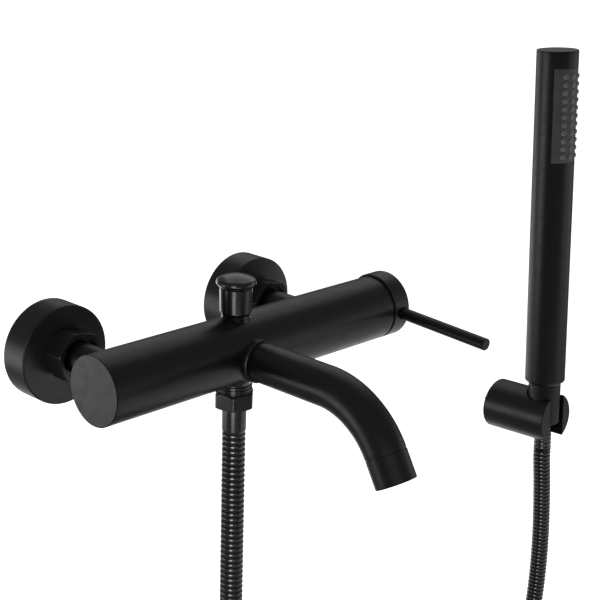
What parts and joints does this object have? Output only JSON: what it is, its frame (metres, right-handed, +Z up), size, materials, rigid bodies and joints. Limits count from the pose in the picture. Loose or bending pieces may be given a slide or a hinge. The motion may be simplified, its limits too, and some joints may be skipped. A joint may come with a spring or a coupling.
{
  "type": "wall mounted bath faucet",
  "caption": "Matt black exposed wall bath mixer with a curved spout, side lever, pull-up diverter, hose and a stick hand shower in its wall holder.",
  "frame": {"origin": "on the wall plane, midway between the centres of the two supply threads", "axes": "+Y into the wall, +X along the mixer from the plain end to the lever end, +Z up; the room is on -Y"},
  "size_m": [0.4994, 0.2246, 0.5899],
  "materials": {
    "matt_black": "matt powder coat",
    "gloss_black": "gloss",
    "black_hose": "glossy ribbed wound metal",
    "black_strap": "woven hook and loop",
    "black_rubber": "moulded",
    "grey_silicone": "soft matt silicone",
    "grey_plastic": "moulded",
    "black_plastic": "moulded",
    "raw_brass": "machined",
    "stainless": "machined",
    "white_ceramic": "lapped"
  },
  "bodies": {
    "mixer": {"valve_body": "matt_black", "end_plug": "matt_black", "rosette_left": "matt_black", "rosette_right": "matt_black", "rosette_seals": "black_rubber", "wall_union_left": "raw_brass", "wall_union_right": "raw_brass", "union_gaskets": "black_rubber", "union_nut_left": "matt_black", "union_nut_right": "matt_black", "inlet_tail_left": "matt_black", "inlet_tail_right": "matt_black", "check_valve_cages": "grey_plastic", "check_spring_left": "stainless", "check_spring_right": "stainless", "cartridge_housing": "grey_plastic", "cartridge_seals": "black_rubber", "fixed_disc": "white_ceramic", "cartridge_nut": "raw_brass", "trim_ring": "black_rubber", "diverter_bonnet": "gloss_black", "diverter_spring": "stainless", "spout_flange": "matt_black", "spout_tube": "matt_black", "aerator_housing": "matt_black", "aerator_insert": "grey_plastic", "outlet_nipple": "gloss_black", "hose_washer_lower": "black_rubber", "hose_nut": "gloss_black", "hose_ferrule": "gloss_black", "hose_lower_run": "black_hose", "hose_coil": "black_hose", "hose_upper_run": "black_hose", "hose_tie": "black_strap", "holder_body": "matt_black", "holder_boss": "stainless", "holder_fixings": "stainless"},
    "handle_turn": {"spindle_rotor": "grey_plastic", "spindle_pin": "stainless"},
    "handle": {"spindle": "raw_brass", "handle_cap": "matt_black", "lever_pin": "matt_black", "handle_set_screw": "stainless"},
    "mixing_disc": {"moving_disc": "white_ceramic", "disc_driver": "grey_plastic"},
    "knob": {"diverter_stem": "stainless", "diverter_plunger": "raw_brass", "plunger_seals": "black_rubber", "knob_barrel": "gloss_black", "knob_cap": "gloss_black"},
    "check_left": {"check_poppet_left": "stainless"},
    "check_right": {"check_poppet_right": "stainless"},
    "hose_end": {"hose_end_fitting": "gloss_black"},
    "hand_shower": {"cone_nut": "matt_black", "hose_washer_upper": "black_rubber", "inlet_plug": "black_plastic", "stick_tube": "matt_black", "stick_end_cap": "matt_black", "nozzle_plate": "grey_silicone", "water_tray": "grey_plastic"}
  },
  "joints": [
    {"name": "temperature_turn", "type": "hinge", "parent": "mixer", "child": "handle_turn", "pos_m": [0.112, -0.0775, 0.0029], "axis": [1, 0, 0], "range_deg": [-47.7, 42.3]},
    {"name": "flow_swing", "type": "hinge", "parent": "handle_turn", "child": "handle", "pos_m": [0.112, -0.0775, 0.0029], "axis": [0, -0.0576, 0.9983], "range_deg": [0, 10]},
    {"name": "disc_shift", "type": "slide", "parent": "handle_turn", "child": "mixing_disc", "axis": [0, -0.9983, -0.0576], "range_m": [0, 0.0025]},
    {"name": "diverter_pull", "type": "slide", "parent": "mixer", "child": "knob", "axis": [0, 0, 1], "range_m": [0, 0.007], "stiffness_N_per_m": 120, "springref_m": -0.012, "deforming": ["diverter_spring"]},
    {"name": "check_left_open", "type": "slide", "parent": "mixer", "child": "check_left", "axis": [0, -1, 0], "range_m": [0, 0.0025], "stiffness_N_per_m": 60, "springref_m": -0.003, "deforming": ["check_spring_left"]},
    {"name": "check_right_open", "type": "slide", "parent": "mixer", "child": "check_right", "axis": [0, -1, 0], "range_m": [0, 0.0025], "stiffness_N_per_m": 60, "springref_m": -0.003, "deforming": ["check_spring_right"]},
    {"name": "hand_shower_lift", "type": "slide", "parent": "mixer", "child": "hose_end", "axis": [-0.0139, 0.0436, 0.999], "range_m": [0, 0.075]},
    {"name": "hand_shower_turn", "type": "hinge", "parent": "hose_end", "child": "hand_shower", "pos_m": [0.3765, -0.0445, -0.1532], "axis": [-0.0139, 0.0436, 0.999], "continuous": true}
  ],
  "couplings": [
    {"joint": "disc_shift", "follows": "flow_swing", "m_per_rad": 0.0131}
  ]
}
